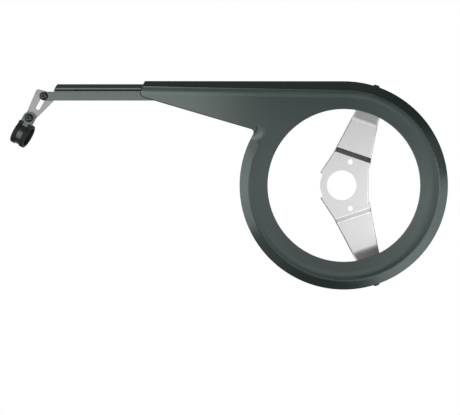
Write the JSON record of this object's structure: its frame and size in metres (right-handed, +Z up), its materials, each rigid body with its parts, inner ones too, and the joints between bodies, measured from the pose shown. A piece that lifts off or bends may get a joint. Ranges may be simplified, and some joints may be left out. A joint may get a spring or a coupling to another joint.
{
  "type": "bicycle chain guard",
  "caption": "Ring-and-arm bicycle chain guard with a folded bottom bracket bracket, a telescoping rear rail and a swivelling rubber-lined chainstay clamp.",
  "frame": {"origin": "centre of the bottom bracket hole, on the bracket face that seats against the frame's shell", "axes": "+X forward along the bicycle, away from the arm; +Z up; +Y towards the bicycle's middle, so the outer face looks towards -Y"},
  "size_m": [0.5079, 0.0355, 0.241],
  "materials": {
    "guard_plastic": "fine-grained satin moulding, dark grey with a green cast",
    "rail_plastic": "fine-grained satin moulding, dark grey with a green cast",
    "bracket_steel": "satin zinc-plated sheet",
    "link_steel": "matt zinc-plated stamping",
    "strap_steel": "dull plated strap",
    "clamp_rubber": "matt black rubber",
    "black_screw": "black oxide",
    "zinc_nut": "zinc plated"
  },
  "bodies": {
    "guard": {"guard_shell": "guard_plastic", "bottom_bracket_bracket": "bracket_steel", "rim_screw_upper": "black_screw", "rim_screw_lower": "black_screw", "rim_nut_upper": "zinc_nut", "rim_nut_lower": "zinc_nut", "rail_screw": "black_screw", "rail_washer": "zinc_nut", "rail_nut": "zinc_nut"},
    "rail": {"extension_rail": "rail_plastic"},
    "strut_bolt": {"strut_screw": "black_screw", "strut_washer": "zinc_nut", "strut_nut": "zinc_nut"},
    "link": {"strut_link": "link_steel"},
    "clamp": {"clamp_band": "strap_steel", "clamp_lining": "clamp_rubber", "clamp_screw": "black_screw", "clamp_washer": "zinc_nut", "clamp_nut": "zinc_nut"}
  },
  "joints": [
    {"name": "rail_slide", "type": "slide", "parent": "guard", "child": "rail", "axis": [-1, 0, 0], "range_m": [-0.06, 0.03]},
    {"name": "strut_swivel", "type": "hinge", "parent": "rail", "child": "strut_bolt", "pos_m": [-0.3465, -0.021, 0.1032], "axis": [0, -1, 0], "range_deg": [-40, 30]},
    {"name": "link_slide", "type": "slide", "parent": "strut_bolt", "child": "link", "axis": [0.4955, 0, 0.8686], "range_m": [0, 0.0152]},
    {"name": "clamp_swivel", "type": "hinge", "parent": "link", "child": "clamp", "pos_m": [-0.3637, -0.021, 0.078], "axis": [0, -1, 0], "range_deg": [-30, 30]}
  ]
}
